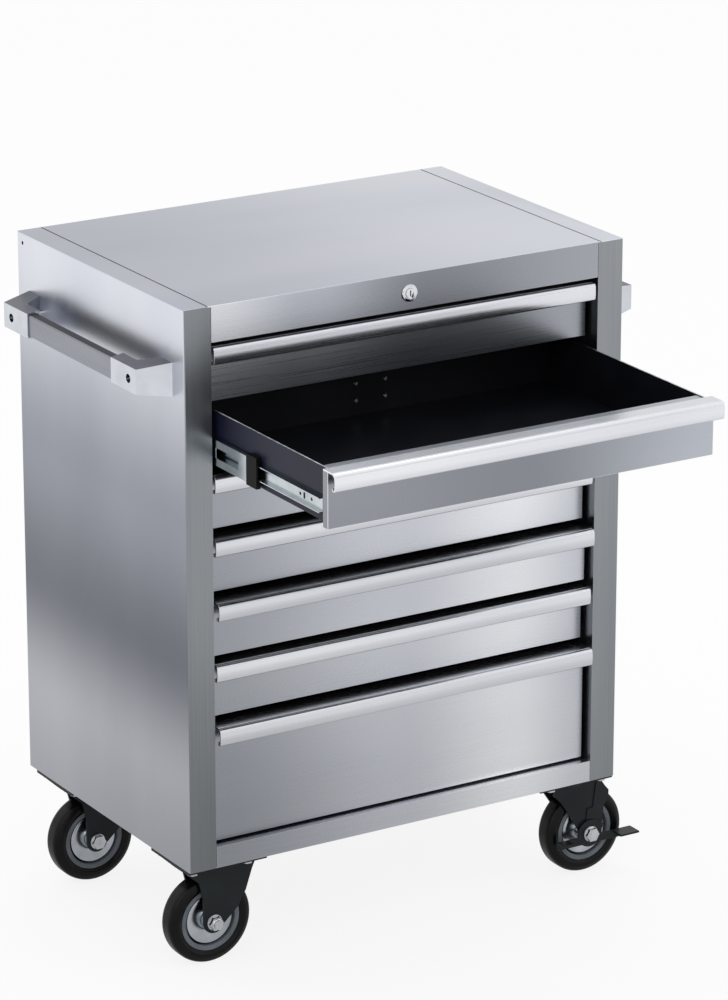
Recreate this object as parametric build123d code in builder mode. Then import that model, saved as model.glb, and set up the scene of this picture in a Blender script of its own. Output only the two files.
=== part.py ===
"""Mobile drawer cabinet in folded stainless sheet: seven drawers on ball runners, a central lock,
push handles on both sides and four casters, two rigid on the left and two braked swivels on the right.

Millimetres, +Z up. The origin is on the floor under the middle of the cabinet body; the drawers face -Y.
"""

import math
import os

from build123d import *

os.makedirs("parts", exist_ok=True)

# ---- Cabinet body ------------------------------------------------------------------------------
cabinet_width = 680.0
cabinet_depth = 460.0
cabinet_height = 779.0
caster_height = 156.0  # floor to the underside of the body
sheet = 1.2  # thickness of the body sheet
bend_radius = 2.0  # outside radius of the long folded edges
post_width = 40.0  # front face of the corner posts
post_depth = 28.0
top_strip_width = 35.0  # side panel folded over the top
seam = 0.6  # open seam beside the worktop and the rail
apron_height = 49.0
apron_return = 20.0
rail_height = 30.0
rail_return = 25.0
rear_flange = 20.0
upright_width = 56.0
rear_upright_setback = 74.0  # from the rear face to the rear upright
vent_hole_radius = 2.6
vent_hole_inset = 14.0  # from the rear and the top edges

# ---- Drawers -----------------------------------------------------------------------------------
shallow_drawers = 6  # above one deep drawer that takes what height is left
drawer_pitch = 87.2
apron_gap = 7.5  # apron to the first handle
front_gap = 8.9  # front to the handle below it
rail_gap = 3.0
front_side_gap = 6.0
front_return = 12.0  # folded side and bottom edges of a front
front_top_return = 27.0
rest_openings = [0.0, 302.0, 0.0, 0.0, 7.0, 0.0, 7.0]  # how far each drawer stands open, top to bottom
laid_gap = 0.3  # between pieces that lie against each other

rear_space = 59.0  # rear walls of the trays to the rear face of the cabinet
tray_sheet = 1.0
tray_lift = 4.0  # tray floor above the lower edge of its front
rim_drop = 1.5  # tray rim below the top of the handle
hem_sheet = 1.2  # rim folded outwards and down
hem_drop = 38.0  # handle top to the lower edge of the hem

# ---- Drawer handles, an aluminium extrusion ----------------------------------------------------
handle_side_gap = 4.0
handle_proud = 1.0  # nose in front of the posts
finger_depth = 22.0  # nose to the drawer front
handle_wall = 2.4
handle_top_depth = 30.0
handle_lip = 24.2
nose_radius = 6.0
lip_bulge = 0.9
lip_hook_depth = 8.0
lip_hook_height = 4.5
groove_width = 0.8
groove_depth = 0.7
groove_setback = 6.8

# ---- Runners -----------------------------------------------------------------------------------
runner_end_gap = 8.0  # rear ends of the runners to the rear wall of the tray
runner_stop = 5.0  # a drawer's travel is this much less than its runners' length
runner_space = 13.0  # post opening to the tray side
runner_height = 45.0
runner_wall = 1.2
runner_setback = 22.0  # drawer front to the ends of the runners
runner_drop = 53.0  # handle top to the middle of the runners
cabinet_lip = 10.5  # depth of the cabinet member
link_inset = 3.2  # cabinet member's back to the link's back
link_depth = 6.8
ball_gap = 3.8  # cabinet member to link, above and below
ball_play = 0.3
ball_track = 2.2  # width of the ball tracks on the link
ball_length = 150.0
drawer_member_height = 20.0
drawer_member_depth = 6.8
link_nose = 26.0  # plastic nose on the link's front end
link_window_start = 46.0
link_window_length = 58.0
link_window_height = 14.0
member_hole_radius = 2.3
member_hole_places = (27.0, 55.0)  # from the front end of the drawer member
member_slot_place = 45.0
member_slot_height = 9.0

# ---- Drawer catches and rivets -----------------------------------------------------------------
catch_width = 62.0
catch_height = 40.0
catch_wall = 1.5
catch_drop = 41.0  # handle top to the middle of the catch
catch_reach = 14.0
catch_tab_width = 24.0
catch_tab_height = 8.0
rivet_spacing_x = 46.0
rivet_spacing_z = 24.0
rivet_radius = 2.0
rivet_head_radius = 3.4
rivet_head = 1.6
shaft_clearance = 0.06  # radial, around pins and bolts

# ---- Lock --------------------------------------------------------------------------------------
lock_drop = 26.4  # top of the cabinet to the lock
bezel_radius = 12.0
bezel_height = 2.2
barrel_radius = 9.5
barrel_length = 20.0
core_radius = 6.8
core_proud = 1.2
keyway_width = 1.6
keyway_length = 8.0
keyway_depth = 9.0
lock_nut_flats = 25.0
lock_nut_height = 4.0
cam_radius = 9.0
cam_throw = 6.4
cam_thickness = 3.0
bar_width = 16.0
bar_thickness = 3.0
bar_foot = 40.0  # floor of the cabinet to the foot of the lock bar
finger_tip = 9.5
finger_wall = 3.0
finger_width = 12.0
tab_clearance = 1.5
guide_wall = 2.0
guide_height = 12.0

# ---- Push handles ------------------------------------------------------------------------------
push_standoff = 46.0
push_length = 370.0  # over the outer faces of the brackets
push_foot_spread = 14.0  # how much further out each bracket stands on the side panel
push_bracket_length = 68.0
push_bracket_depth = 19.0
push_leg = 30.0
push_corner_radius = 9.0
push_outer_height = 34.0
push_foot_height = 46.0
push_drop = 100.0  # top of the cabinet to the middle of the handle
push_bar_height = 30.0
push_bar_depth = 15.0
push_bar_recess = 2.0
push_socket = 24.0
push_screw_inset = 21.0
push_hole_radius = 6.0
push_hole_depth = 16.0
screw_radius = 3.0
screw_head_radius = 5.0
screw_head_height = 6.0
screw_nut_height = 5.0

# ---- Casters -----------------------------------------------------------------------------------
wheel_radius = 62.5
tyre_width = 32.0
tyre_inner_radius = 44.5
tyre_shoulder = 9.0
tread_width = 17.0
hub_disc_radius = 35.5
hub_groove = 2.0
hub_ring_width = 27.0
hub_disc_width = 22.0
hub_dish = 2.5  # how far the disc draws in towards the boss
hub_boss_radius = 13.0
wheel_side_gap = 4.0  # tyre to fork
boss_end_gap = 0.4
axle_radius = 6.0
caster_inset_x = 54.0  # outer face of the side panel to the middle of the mounting plate
front_caster_inset = 56.0
rear_caster_inset = 72.0
plate_outer_reach = 54.0  # middle of the caster to the outer edge of its plate
plate_inner_reach = 66.0
plate_y = 104.0
plate_thickness = 4.0
plate_bolt_x = 84.0
plate_bolt_y = 80.0
fork_wall = 3.0
fork_eye_radius = 16.0
swivel_offset = 35.0
raceway_radius = 34.0
raceway_height = 5.0
swivel_gap = 0.3
swivel_head_height = 6.0
kingpin_radius = 6.0
kingpin_head_radius = 10.0
kingpin_head = 3.7
caster_bolt_radius = 4.0
caster_bolt_flats = 13.0
caster_bolt_head = 5.0
caster_nut = 6.0
axle_flats = 18.0
axle_head = 8.0
axle_nut = 9.0
axle_end = 5.0
brake_wall = 3.0
bracket_wall = 1.6  # brake bracket laid on the outer face of the swivel fork
brake_disc_radius = 20.0
brake_arm_height = 12.0
brake_arm_drop = 9.5  # axle to the middle of the arms
brake_outer_reach = 70.0  # axle to the end of the pedal outside the tyre
brake_inner_reach = 54.0
brake_pedal_length = 32.0
brake_pedal_width = 21.0
brake_inner_pedal_length = 18.0
brake_inner_pedal_width = 14.0

# ---- Worked out from the sizes above -----------------------------------------------------------
half_width = cabinet_width / 2
half_depth = cabinet_depth / 2
front_y = -half_depth
under_z = caster_height
top_z = caster_height + cabinet_height
opening_half = half_width - post_width
post_rear_y = front_y + post_depth
nose_y = front_y - handle_proud
face_y = nose_y + finger_depth
drawer_numbers = range(1, shallow_drawers + 2)
first_handle_z = top_z - apron_height - apron_gap
tray_half = opening_half - runner_space
tray_front_y = face_y + sheet + laid_gap
tray_rear_y = half_depth - rear_space
runner_front_y = face_y + runner_setback
runner_length = tray_rear_y - runner_end_gap - runner_front_y
runner_travel = runner_length - runner_stop
upright_rear_y = half_depth - rear_upright_setback
lock_z = top_z - lock_drop
lift = 2 * cam_throw * math.sin(math.radians(45))
arm_z = lock_z + cam_radius - lift / 2 + laid_gap
catch_rear_y = tray_rear_y + catch_wall
tab_y = catch_rear_y + catch_reach - catch_wall
bar_y = tab_y + catch_wall + finger_wall + 2 * tab_clearance
axle_z = wheel_radius
caster_x = half_width - caster_inset_x
front_caster_y = front_y + front_caster_inset
rear_caster_y = half_depth - rear_caster_inset
fork_inner = tyre_width / 2 + wheel_side_gap
fork_outer = fork_inner + fork_wall
fork_top_z = under_z - plate_thickness - raceway_height - swivel_gap
bracket_outer = fork_outer + bracket_wall
brake_outer = bracket_outer + laid_gap + brake_wall
push_z = top_z - push_drop
push_screw_y = push_length / 2 - push_screw_inset


def slab(x, y, z, mode=Mode.ADD):
    """A box between two values on each axis, in the part that is being built."""
    with Locations(((x[0] + x[1]) / 2, (y[0] + y[1]) / 2, (z[0] + z[1]) / 2)):
        Box(abs(x[1] - x[0]), abs(y[1] - y[0]), abs(z[1] - z[0]), mode=mode)


def patch(u, v, mode=Mode.ADD):
    """A rectangle between two values on each axis, in the sketch that is being drawn."""
    with Locations(((u[0] + u[1]) / 2, (v[0] + v[1]) / 2)):
        Rectangle(abs(u[1] - u[0]), abs(v[1] - v[0]), mode=mode)


def rod(radius, centre, y, mode=Mode.ADD):
    """A round bar along Y through the point (x, z), between two values of y."""
    with BuildSketch(Plane.XZ.offset(-max(y))) as section:
        with Locations(centre):
            Circle(radius)
    extrude(section.sketch, amount=abs(y[1] - y[0]), mode=mode)


def hexagon(flats, centre, y):
    """A hexagonal head or nut along Y, by its width across flats."""
    with BuildSketch(Plane.XZ.offset(-max(y))) as section:
        with Locations(centre):
            RegularPolygon(flats / 2, 6, major_radius=False)
    extrude(section.sketch, amount=abs(y[1] - y[0]))


def handle_top(number):
    """Height of the top of a drawer's handle, the first drawer uppermost."""
    return first_handle_z - (number - 1) * drawer_pitch


def front_bottom(number):
    """Height of the lower edge of a drawer's front."""
    if number <= shallow_drawers:
        return handle_top(number) - drawer_pitch + front_gap
    return under_z + rail_height + rail_gap


def runner_z(number):
    """Height of the middle of a drawer's runners."""
    return handle_top(number) - runner_drop


def rest_opening(number):
    """How far a drawer stands open."""
    return rest_openings[number - 1] if number <= len(rest_openings) else 0.0


# ---- Side panels: wall, box post, rear flange and top strip in one folded sheet -----------------
for side, name in ((-1, "left_side_panel"), (1, "right_side_panel")):
    with BuildPart() as side_panel:
        with BuildSketch(Plane.XY.offset(under_z)):
            patch((side * half_width, side * (half_width - sheet)), (front_y, half_depth))
            patch((side * half_width, side * opening_half), (front_y, post_rear_y))
            patch((side * (half_width - sheet), side * (opening_half + sheet)),
                  (front_y + sheet, post_rear_y - sheet), mode=Mode.SUBTRACT)
            patch((side * half_width, side * (half_width - rear_flange)),
                  (half_depth - sheet, half_depth))
        extrude(amount=cabinet_height - sheet)
        slab((side * half_width, side * (half_width - top_strip_width)), (front_y, half_depth),
             (top_z - sheet, top_z))
        outer_corner = (side_panel.edges().filter_by(Axis.Z)
                        .group_by(Axis.Y)[0].sort_by(Axis.X)[0 if side < 0 else -1])
        fillet(outer_corner, radius=bend_radius)
        long_fold = (side_panel.edges().filter_by(Axis.Y)
                     .group_by(Axis.Z)[-1].sort_by(Axis.X)[0 if side < 0 else -1])
        fillet(long_fold, radius=min(bend_radius, sheet * 0.9))
        for end in (-1, 1):
            with BuildSketch(Plane.YZ.offset(side * half_width)):
                with Locations((end * push_screw_y, push_z)):
                    Circle(screw_radius + shaft_clearance)
            extrude(amount=-side * sheet, mode=Mode.SUBTRACT)
        with BuildSketch(Plane.YZ.offset(side * half_width)):
            with Locations((half_depth - vent_hole_inset, top_z - vent_hole_inset)):
                Circle(vent_hole_radius)
        extrude(amount=-side * sheet, mode=Mode.SUBTRACT)
    side_panel.part.label = name
    export_step(side_panel.part, f"parts/{name}.step")

# ---- Back panel --------------------------------------------------------------------------------
with BuildPart() as back_panel:
    slab((-half_width + sheet, half_width - sheet), (half_depth - 2 * sheet, half_depth - sheet),
         (under_z, top_z - sheet))
back_panel.part.label = "back_panel"
export_step(back_panel.part, "parts/back_panel.step")

# ---- Worktop: top plate with the apron folded down at the front ---------------------------------
worktop_half = half_width - top_strip_width - seam
apron_half = opening_half - seam
apron_bottom = top_z - apron_height
with BuildPart() as worktop_panel:
    slab((-worktop_half, worktop_half), (front_y, half_depth), (top_z - sheet, top_z))
    slab((-apron_half, apron_half), (front_y, front_y + sheet), (apron_bottom, top_z - sheet))
    slab((-apron_half, apron_half), (front_y, front_y + apron_return), (apron_bottom, apron_bottom + sheet))
    apron_fold = worktop_panel.edges().filter_by(Axis.X).group_by(Axis.Z)[-1].sort_by(Axis.Y)[0]
    fillet(apron_fold, radius=min(bend_radius, sheet * 0.9))
    rod(barrel_radius + shaft_clearance, (0, lock_z), (front_y, front_y + sheet), mode=Mode.SUBTRACT)
worktop_panel.part.label = "worktop_panel"
export_step(worktop_panel.part, "parts/worktop_panel.step")

# ---- Base: floor of the cabinet with the bottom rail folded up at the front ---------------------
caster_places = [(side * caster_x, y) for side in (-1, 1) for y in (front_caster_y, rear_caster_y)]
plate_bolts = [(x + u * plate_bolt_x / 2, y + v * plate_bolt_y / 2)
               for x, y in caster_places for u in (-1, 1) for v in (-1, 1)]
with BuildPart() as base_panel:
    slab((-half_width + sheet, half_width - sheet), (post_rear_y, half_depth - 2 * sheet),
         (under_z, under_z + sheet))
    slab((-opening_half, opening_half), (front_y, post_rear_y), (under_z, under_z + sheet))
    slab((-opening_half + seam, opening_half - seam), (front_y, front_y + sheet),
         (under_z, under_z + rail_height))
    slab((-opening_half + seam, opening_half - seam), (front_y, front_y + rail_return),
         (under_z + rail_height - sheet, under_z + rail_height))
    with BuildSketch(Plane.XY.offset(under_z)):
        with Locations(*plate_bolts):
            Circle(caster_bolt_radius + shaft_clearance)
    extrude(amount=sheet, mode=Mode.SUBTRACT)
base_panel.part.label = "base_panel"
export_step(base_panel.part, "parts/base_panel.step")

# ---- Uprights inside the side panels, the cabinet members of the runners and the bar guides ------
with BuildPart() as uprights:
    with BuildSketch(Plane.XY.offset(under_z + sheet)):
        for side in (-1, 1):
            for start in (post_rear_y, upright_rear_y - upright_width):
                inner, outer = side * opening_half, side * (half_width - sheet)
                patch((inner, outer), (start, start + upright_width))
                patch((inner + side * sheet, outer), (start + sheet, start + upright_width - sheet),
                      mode=Mode.SUBTRACT)
    extrude(amount=cabinet_height - 2 * sheet)

with BuildPart() as cabinet_members:
    for number in drawer_numbers:
        middle, half = runner_z(number), runner_height / 2
        with BuildSketch(Plane.XZ.offset(-runner_front_y - runner_length)):
            for side in (-1, 1):
                back = side * opening_half
                patch((back, back - side * cabinet_lip), (middle - half, middle + half))
                patch((back - side * runner_wall, back - side * cabinet_lip),
                      (middle - half + runner_wall, middle + half - runner_wall), mode=Mode.SUBTRACT)
        extrude(amount=runner_length)

guide_heights = [(runner_z(n) + runner_z(n + 1)) / 2 - guide_height for n in (1, shallow_drawers)]
with BuildPart() as bar_guides:
    slot_half = bar_width / 2 + laid_gap
    for height in guide_heights:
        slab((-slot_half - guide_wall, slot_half + guide_wall),
             (bar_y - laid_gap - guide_wall, bar_y + bar_thickness + laid_gap + guide_wall),
             (height, height + guide_height))
        slab((-slot_half, slot_half), (bar_y - laid_gap, bar_y + bar_thickness + laid_gap),
             (height, height + guide_height), mode=Mode.SUBTRACT)
        slab((-guide_wall, guide_wall),
             (bar_y + bar_thickness + laid_gap + guide_wall, half_depth - 2 * sheet),
             (height, height + guide_height))

cabinet_runners = Compound(label="cabinet_runners",
                           children=[uprights.part, cabinet_members.part, bar_guides.part])
export_step(cabinet_runners, "parts/cabinet_runners.step")

# ---- Drawers -----------------------------------------------------------------------------------
front_half = opening_half - front_side_gap
handle_half = opening_half - handle_side_gap
return_half = tray_half - tray_sheet - laid_gap
hem_half = tray_half + hem_sheet
catch_rivets = [(u * rivet_spacing_x / 2, v * rivet_spacing_z / 2) for u in (-1, 1) for v in (-1, 1)]

for number in drawer_numbers:
    top, bottom, slide = handle_top(number), front_bottom(number), rest_opening(number)
    middle = runner_z(number)
    steel_top = top - handle_wall

    # Front: a folded sheet with narrow returns and a deep top flange under the handle.
    with BuildPart() as drawer_front:
        y = face_y - slide
        slab((-front_half, front_half), (y, y + front_return), (bottom, steel_top))
        slab((-front_half + sheet, front_half - sheet), (y + sheet, y + front_return),
             (bottom + sheet, steel_top), mode=Mode.SUBTRACT)
        slab((-return_half, return_half), (y, y + front_top_return), (steel_top - sheet, steel_top))
        slab((-return_half, return_half), (y + front_top_return - sheet, y + front_top_return),
             (steel_top - front_return, steel_top))
    drawer_front.part.label = f"drawer_{number}_front"
    export_step(drawer_front.part, f"parts/drawer_{number}_front.step")

    # Handle: top flange, rounded nose, slightly bulged lip and a hooked lower edge.
    with BuildPart() as drawer_handle:
        y = nose_y - slide
        rear, lip_foot = y + handle_top_depth, top - handle_lip
        inner = y + handle_wall + lip_bulge
        with BuildSketch(Plane.YZ):
            with BuildLine():
                Line((rear, top - handle_wall), (rear, top))
                Line((rear, top), (y + nose_radius, top))
                TangentArc((y + nose_radius, top), (y + lip_bulge / 2, top - nose_radius), tangent=(-1, 0))
                ThreePointArc((y + lip_bulge / 2, top - nose_radius), (y, top - handle_lip / 2),
                              (y + lip_bulge, lip_foot + handle_wall))
                ThreePointArc((y + lip_bulge, lip_foot + handle_wall),
                              (y + lip_bulge + 0.35 * handle_wall, lip_foot + 0.3 * handle_wall),
                              (y + lip_bulge + 1.2 * handle_wall, lip_foot))
                Polyline((y + lip_bulge + 1.2 * handle_wall, lip_foot), (y + lip_hook_depth, lip_foot),
                         (y + lip_hook_depth, lip_foot + lip_hook_height),
                         (y + lip_hook_depth - 0.7 * handle_wall, lip_foot + lip_hook_height),
                         (y + lip_hook_depth - 0.7 * handle_wall, lip_foot + 0.7 * handle_wall),
                         (inner + 0.3 * handle_wall, lip_foot + 0.7 * handle_wall),
                         (inner, lip_foot + 1.4 * handle_wall))
                ThreePointArc((inner, lip_foot + 1.4 * handle_wall),
                              (y + handle_wall, top - handle_lip / 2),
                              (inner, top - nose_radius))
                ThreePointArc((inner, top - nose_radius),
                              (inner + 0.3 * nose_radius, top - handle_wall - 0.25 * nose_radius),
                              (y + nose_radius + handle_wall, top - handle_wall))
                Line((y + nose_radius + handle_wall, top - handle_wall), (rear, top - handle_wall))
            make_face()
            patch((y + groove_setback, y + groove_setback + groove_width), (top - groove_depth, top),
                  mode=Mode.SUBTRACT)
        extrude(amount=handle_half, both=True)
    drawer_handle.part.label = f"drawer_{number}_handle"
    export_step(drawer_handle.part, f"parts/drawer_{number}_handle.step")

    # Tray: folded box, its sides doubled outwards at the rim.
    rim, floor = top - rim_drop, bottom + tray_lift
    front_wall_y, rear_y = tray_front_y - slide, tray_rear_y - slide
    flange_y = nose_y + handle_top_depth + laid_gap - slide
    with BuildPart() as drawer_tray:
        slab((-tray_half, tray_half), (front_wall_y, rear_y), (floor, rim))
        slab((-hem_half, hem_half), (front_wall_y, rear_y), (top - hem_drop, rim))
        slab((-tray_half + tray_sheet, tray_half - tray_sheet),
             (front_wall_y + tray_sheet, rear_y - tray_sheet), (floor + tray_sheet, rim), mode=Mode.SUBTRACT)
        slab((-hem_half, hem_half), (front_wall_y, flange_y),
             (steel_top - sheet - laid_gap, rim), mode=Mode.SUBTRACT)
        with BuildSketch(Plane.XZ.offset(-rear_y)):
            with Locations((0, top - catch_drop)):
                with Locations(*catch_rivets):
                    Circle(rivet_radius + shaft_clearance)
        extrude(amount=tray_sheet, mode=Mode.SUBTRACT)
    drawer_tray.part.label = f"drawer_{number}_tray"
    export_step(drawer_tray.part, f"parts/drawer_{number}_tray.step")

    # Drawer members of the runners, the catch for the lock bar and its four rivets.
    start = runner_front_y - slide
    with BuildPart() as drawer_members:
        half = drawer_member_height / 2
        with BuildSketch(Plane.XZ.offset(-start - runner_length)):
            for side in (-1, 1):
                web = side * tray_half
                patch((web, web + side * drawer_member_depth), (middle - half, middle + half))
                patch((web + side * runner_wall, web + side * drawer_member_depth),
                      (middle - half + runner_wall, middle + half - runner_wall), mode=Mode.SUBTRACT)
        extrude(amount=runner_length)
        with BuildSketch(Plane.YZ):
            with Locations(*[(start + place, middle) for place in member_hole_places]):
                Circle(member_hole_radius)
            with Locations((start + member_slot_place, middle)):
                SlotOverall(member_slot_height, 2 * member_hole_radius, rotation=90)
        extrude(amount=tray_half + drawer_member_depth, both=True, mode=Mode.SUBTRACT)
    with BuildPart() as drawer_catch:
        catch_z = top - catch_drop
        slab((-catch_width / 2, catch_width / 2), (rear_y, rear_y + catch_wall),
             (catch_z - catch_height / 2, catch_z + catch_height / 2))
        slab((-catch_tab_width / 2, catch_tab_width / 2),
             (rear_y, rear_y + catch_wall + catch_reach), (catch_z, catch_z + catch_wall))
        slab((-catch_tab_width / 2, catch_tab_width / 2),
             (tab_y - slide, tab_y - slide + catch_wall), (catch_z - catch_tab_height, catch_z + catch_wall))
        with BuildSketch(Plane.XZ.offset(-rear_y - catch_wall)):
            with Locations((0, catch_z)):
                with Locations(*catch_rivets):
                    Circle(rivet_radius + shaft_clearance)
        extrude(amount=catch_wall, mode=Mode.SUBTRACT)
    with BuildPart() as catch_rivet_set:
        inside_y, outside_y = rear_y - tray_sheet, rear_y + catch_wall
        for x, z in catch_rivets:
            place = (x, catch_z + z)
            rod(rivet_radius, place, (inside_y, outside_y))
            rod(rivet_head_radius, place, (outside_y, outside_y + rivet_head))
            with BuildSketch(Plane(origin=(x, inside_y, catch_z + z), x_dir=(1, 0, 0), z_dir=(0, -1, 0))):
                Circle(rivet_head_radius)
            extrude(amount=rivet_head, taper=35)
    drawer_runners = Compound(label=f"drawer_{number}_runners",
                              children=[drawer_members.part, drawer_catch.part, catch_rivet_set.part])
    export_step(drawer_runners, f"parts/drawer_{number}_runners.step")

    # Intermediate members, which travel half as far as the drawer, each with a plastic nose.
    start = runner_front_y - slide / 2
    outer_half = runner_height / 2 - runner_wall - ball_gap
    track_top = runner_height / 2 - runner_wall - ball_play
    track_bottom = drawer_member_height / 2 + ball_play
    with BuildPart() as link_members:
        with BuildSketch(Plane.XZ.offset(-start - runner_length)):
            for side in (-1, 1):
                back = side * (opening_half - link_inset)
                mouth = back - side * link_depth
                patch((back, mouth), (middle - outer_half, middle + outer_half))
                patch((back - side * runner_wall, mouth),
                      (middle - outer_half + runner_wall, middle + outer_half - runner_wall),
                      mode=Mode.SUBTRACT)
        extrude(amount=runner_length - link_nose)
        slab((-half_width, half_width),
             (start + link_window_start, start + link_window_start + link_window_length),
             (middle - link_window_height / 2, middle + link_window_height / 2), mode=Mode.SUBTRACT)
        for side in (-1, 1):
            track_x = opening_half - link_inset - link_depth + runner_wall
            track = (side * track_x, side * (track_x + ball_track))
            for level in (-1, 1):
                slab(track, (start + link_nose, start + link_nose + ball_length),
                     (middle + level * track_bottom, middle + level * (outer_half - runner_wall)))
                slab(track, (start + runner_length - ball_length, start + runner_length),
                     (middle + level * outer_half, middle + level * track_top))
    with BuildPart() as link_noses:
        for side in (-1, 1):
            back = side * (opening_half - link_inset)
            mouth = back - side * link_depth
            with BuildSketch(Plane.XZ.offset(-start - link_nose)):
                patch((back, mouth), (middle - track_top, middle + track_top))
                patch((side * (tray_half + drawer_member_depth + laid_gap), mouth),
                      (middle - track_bottom, middle + track_bottom), mode=Mode.SUBTRACT)
            extrude(amount=link_nose)
    drawer_links = Compound(label=f"drawer_{number}_links", children=[link_members.part, link_noses.part])
    export_step(drawer_links, f"parts/drawer_{number}_links.step")

# ---- Lock: barrel in the apron, core with its cam, and the bar that the cam lifts ----------------
with BuildPart() as barrel_body:
    rod(bezel_radius, (0, lock_z), (front_y - bezel_height, front_y))
    rod(barrel_radius, (0, lock_z), (front_y, front_y + barrel_length))
    rod(core_radius + shaft_clearance, (0, lock_z), (front_y - bezel_height, front_y + barrel_length),
        mode=Mode.SUBTRACT)
    bezel_edge = barrel_body.edges().filter_by(GeomType.CIRCLE).group_by(Axis.Y)[0].sort_by(Edge.length)[-1]
    chamfer(bezel_edge, length=bezel_height / 3)
with BuildPart() as barrel_nut:
    hexagon(lock_nut_flats, (0, lock_z), (front_y + sheet, front_y + sheet + lock_nut_height))
    rod(barrel_radius + shaft_clearance, (0, lock_z),
        (front_y + sheet, front_y + sheet + lock_nut_height), mode=Mode.SUBTRACT)
lock_barrel = Compound(label="lock_barrel", children=[barrel_body.part, barrel_nut.part])
export_step(lock_barrel, "parts/lock_barrel.step")

cam_front_y = front_y + barrel_length + laid_gap
cam_centre = (cam_throw * math.cos(math.radians(-45)), lock_z + cam_throw * math.sin(math.radians(-45)))
with BuildPart() as lock_core:
    rod(core_radius, (0, lock_z), (front_y - bezel_height - core_proud, cam_front_y))
    rod(cam_radius, cam_centre, (cam_front_y, cam_front_y + cam_thickness))
    with BuildSketch(Plane.XZ.offset(-front_y + bezel_height + core_proud)):
        with Locations((0, lock_z)):
            Rectangle(keyway_width, keyway_length)
    extrude(amount=-keyway_depth, mode=Mode.SUBTRACT)
lock_core.part.label = "lock_core"
export_step(lock_core.part, "parts/lock_core.step")

with BuildPart() as lock_bar:
    slab((-bar_width / 2, bar_width / 2), (bar_y, bar_y + bar_thickness),
         (under_z + bar_foot, arm_z + bar_thickness))
    slab((-bar_width / 2, bar_width / 2), (cam_front_y, bar_y + bar_thickness),
         (arm_z, arm_z + bar_thickness))
    for number in drawer_numbers:
        tip_top = handle_top(number) - catch_drop - catch_tab_height - tab_clearance
        tip_y = tab_y - tab_clearance - finger_wall
        slab((-finger_width / 2, finger_width / 2), (tip_y, tip_y + finger_wall),
             (tip_top - finger_tip, tip_top))
        slab((-finger_width / 2, finger_width / 2), (tip_y, bar_y),
             (tip_top - finger_tip - finger_wall, tip_top - finger_tip))
lock_bar.part.label = "lock_bar"
export_step(lock_bar.part, "parts/lock_bar.step")

# ---- Push handles: two bars, each held in a pair of cast brackets --------------------------------
outer_x = half_width + push_standoff
with BuildPart() as push_brackets:
    with BuildSketch(Plane.XY.offset(push_z - push_foot_height / 2)) as plan:
        outer_end, foot_end = push_length / 2, push_length / 2 + push_foot_spread
        with BuildLine():
            Polyline((outer_x, outer_end), (half_width, foot_end), (half_width, foot_end - push_leg),
                     (outer_x - push_bracket_depth, outer_end - push_leg),
                     (outer_x - push_bracket_depth, outer_end - push_bracket_length),
                     (outer_x, outer_end - push_bracket_length), close=True)
        make_face()
        inner_corner = plan.vertices().filter_by(
            lambda v: (abs(v.X - outer_x + push_bracket_depth) < 0.01
                       and abs(v.Y - outer_end + push_leg) < 0.01))
        fillet(inner_corner, radius=push_corner_radius)
    extrude(amount=push_foot_height)
    with BuildSketch(Plane.XZ):
        with BuildLine():
            Polyline((half_width, push_z - push_foot_height / 2), (outer_x, push_z - push_outer_height / 2),
                     (outer_x, push_z + push_outer_height / 2), (half_width, push_z + push_foot_height / 2),
                     close=True)
        make_face()
    extrude(amount=half_depth, both=True, mode=Mode.INTERSECT)
    bar_back = outer_x - push_bar_recess - push_bar_depth
    slab((bar_back - laid_gap, outer_x - push_bar_recess + laid_gap),
         (outer_end - push_bracket_length, outer_end - push_bracket_length + push_socket),
         (push_z - push_bar_height / 2 - laid_gap, push_z + push_bar_height / 2 + laid_gap),
         mode=Mode.SUBTRACT)
    with BuildSketch(Plane.YZ.offset(outer_x)):
        with Locations((push_screw_y, push_z)):
            Circle(push_hole_radius)
    extrude(amount=-push_hole_depth, mode=Mode.SUBTRACT)
    with BuildSketch(Plane.YZ.offset(outer_x)):
        with Locations((push_screw_y, push_z)):
            Circle(screw_radius + shaft_clearance)
    extrude(amount=-push_standoff, mode=Mode.SUBTRACT)
    mirror(about=Plane.XZ)
    mirror(about=Plane.YZ)
with BuildPart() as push_bars:
    bar_half = push_length / 2 - push_bracket_length + push_socket - laid_gap
    slab((bar_back, outer_x - push_bar_recess), (-bar_half, bar_half),
         (push_z - push_bar_height / 2, push_z + push_bar_height / 2))
    fillet(push_bars.edges().filter_by(Axis.Y), radius=bend_radius)
    mirror(about=Plane.YZ)
side_handles = Compound(label="side_handles", children=[push_brackets.part, push_bars.part])
export_step(side_handles, "parts/side_handles.step")


def axle_bolt(centre_x, centre_y, nut_side, reach):
    """Axle bolt along Y through a fork, with its nut on one side; reach is where head and nut seat."""
    centre = (centre_x, axle_z)
    seat, far_seat = centre_y + nut_side * reach, centre_y - nut_side * reach
    with BuildPart() as bolt:
        rod(axle_radius, centre, (far_seat, seat + nut_side * (axle_nut + axle_end)))
        hexagon(axle_flats, centre, (far_seat, far_seat - nut_side * axle_head))
    with BuildPart() as nut:
        hexagon(axle_flats, centre, (seat, seat + nut_side * axle_nut))
        rod(axle_radius + shaft_clearance, centre, (seat, seat + nut_side * axle_nut), mode=Mode.SUBTRACT)
    return [bolt.part, nut.part]


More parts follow.
